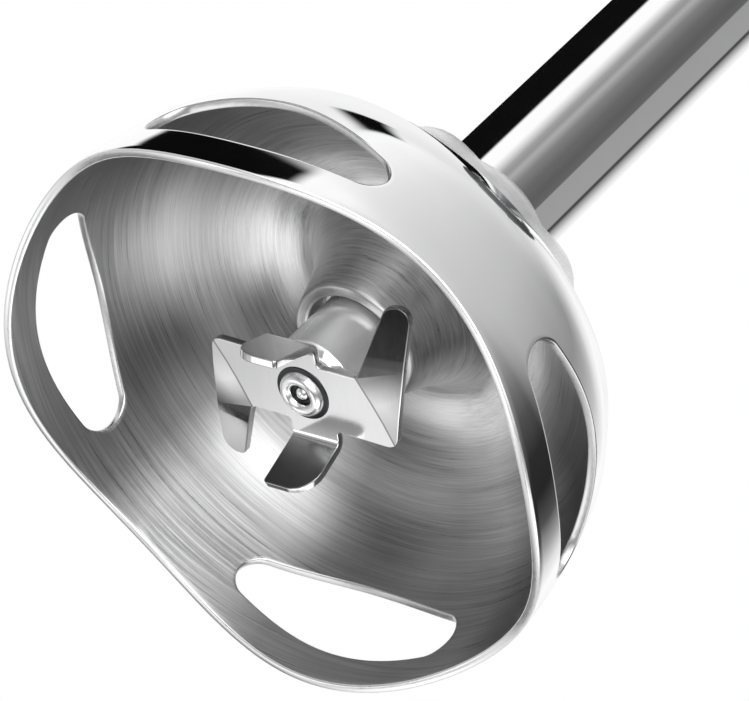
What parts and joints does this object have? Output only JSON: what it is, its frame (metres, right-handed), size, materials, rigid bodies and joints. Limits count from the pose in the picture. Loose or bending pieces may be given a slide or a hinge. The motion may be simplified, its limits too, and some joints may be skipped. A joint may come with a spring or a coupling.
{
  "type": "immersion blender",
  "caption": "Hand-held stick blender with a scalloped steel bell guard, side slots, a spinning bent blade, a steel shaft and a detachable motor unit with buttons and a dial.",
  "frame": {"origin": "centre of the lowest plane of the bell's scalloped rim, on the shaft axis", "axes": "+Z along the shaft from the blade up to the handle; -Y faces the user, where the buttons are; the bell's slots face +X, +Y, -X and -Y"},
  "size_m": [0.075, 0.075, 0.39],
  "materials": {
    "mirror_steel": "polished",
    "brushed_steel": "brushed",
    "tube_steel": "polished",
    "blade_steel": "satin",
    "bronze": "sintered",
    "seal_rubber": "matt",
    "grip_rubber": "matt",
    "shell_plastic": "satin",
    "cap_plastic": "satin",
    "button_plastic": "satin",
    "panel_plastic": "gloss",
    "inner_plastic": "satin",
    "copper": "enamelled wire",
    "core_steel": "laminated",
    "carbon": "matt",
    "brass": "plain",
    "zinc_steel": "zinc plated",
    "board": "lacquered",
    "aluminium": "cast"
  },
  "bodies": {
    "foot": {"bell_guard": "mirror_steel", "shaft_tube": "tube_steel", "seal_retainer": "mirror_steel", "lip_seal": "seal_rubber", "lower_bush": "bronze", "bearing_carrier": "inner_plastic", "upper_bush": "bronze", "foot_collar": "shell_plastic", "spigot_seal": "seal_rubber", "collar_ring": "mirror_steel"},
    "blade_drive": {"blade": "blade_steel", "blade_hub": "mirror_steel", "drive_shaft": "mirror_steel", "thrust_washer": "zinc_steel", "shaft_circlip": "zinc_steel", "driven_dog": "inner_plastic"},
    "motor_unit": {"front_shell": "shell_plastic", "rear_shell": "shell_plastic", "housing_screws": "zinc_steel", "grip_sleeve": "grip_rubber", "button_panel": "panel_plastic", "coupling_socket": "inner_plastic", "top_cap": "cap_plastic", "cord_gland": "seal_rubber", "motor_stator": "core_steel", "field_coils": "copper", "motor_cushions": "seal_rubber", "lower_bearing_plate": "aluminium", "upper_bearing_plate": "aluminium", "lower_motor_bearing": "bronze", "upper_motor_bearing": "bronze", "brush_holders": "brass", "carbon_brushes": "carbon", "circuit_board": "board", "power_switch": "panel_plastic", "turbo_switch": "panel_plastic", "speed_sensor": "inner_plastic"},
    "rotor": {"motor_shaft": "zinc_steel", "armature_core": "core_steel", "armature_windings": "copper", "commutator": "copper", "cooling_fan": "inner_plastic", "driving_dog": "inner_plastic"},
    "speed_dial": {"speed_dial": "button_plastic"},
    "power_button": {"power_button": "button_plastic"},
    "turbo_button": {"turbo_button": "button_plastic"},
    "left_release": {"left_release": "button_plastic"},
    "right_release": {"right_release": "button_plastic"}
  },
  "joints": [
    {"name": "blade_spin", "type": "hinge", "parent": "foot", "child": "blade_drive", "pos_m": [0, 0, 0.02], "axis": [0, 0, 1], "continuous": true},
    {"name": "unit_release", "type": "slide", "parent": "foot", "child": "motor_unit", "axis": [0, 0, 1], "range_m": [0, 0.03]},
    {"name": "motor_spin", "type": "hinge", "parent": "motor_unit", "child": "rotor", "pos_m": [0, 0, 0.25], "axis": [0, 0, 1], "continuous": true},
    {"name": "dial_turn", "type": "hinge", "parent": "motor_unit", "child": "speed_dial", "pos_m": [0, 0, 0.38], "axis": [0, 0, 1], "range_deg": [0, 270]},
    {"name": "power_button_press", "type": "slide", "parent": "motor_unit", "child": "power_button", "axis": [0, 1, 0], "range_m": [0, 0.0015], "stiffness_N_per_m": 1500, "springref_m": -0.0006},
    {"name": "turbo_button_press", "type": "slide", "parent": "motor_unit", "child": "turbo_button", "axis": [0, 1, 0], "range_m": [0, 0.0015], "stiffness_N_per_m": 1500, "springref_m": -0.0006},
    {"name": "left_release_press", "type": "slide", "parent": "motor_unit", "child": "left_release", "axis": [1, 0, 0], "range_m": [0, 0.0015], "stiffness_N_per_m": 1500, "springref_m": -0.0006},
    {"name": "right_release_press", "type": "slide", "parent": "motor_unit", "child": "right_release", "axis": [-1, 0, 0], "range_m": [0, 0.0015], "stiffness_N_per_m": 1500, "springref_m": -0.0006}
  ],
  "couplings": [
    {"joint": "blade_spin", "follows": "motor_spin", "ratio": 1}
  ]
}
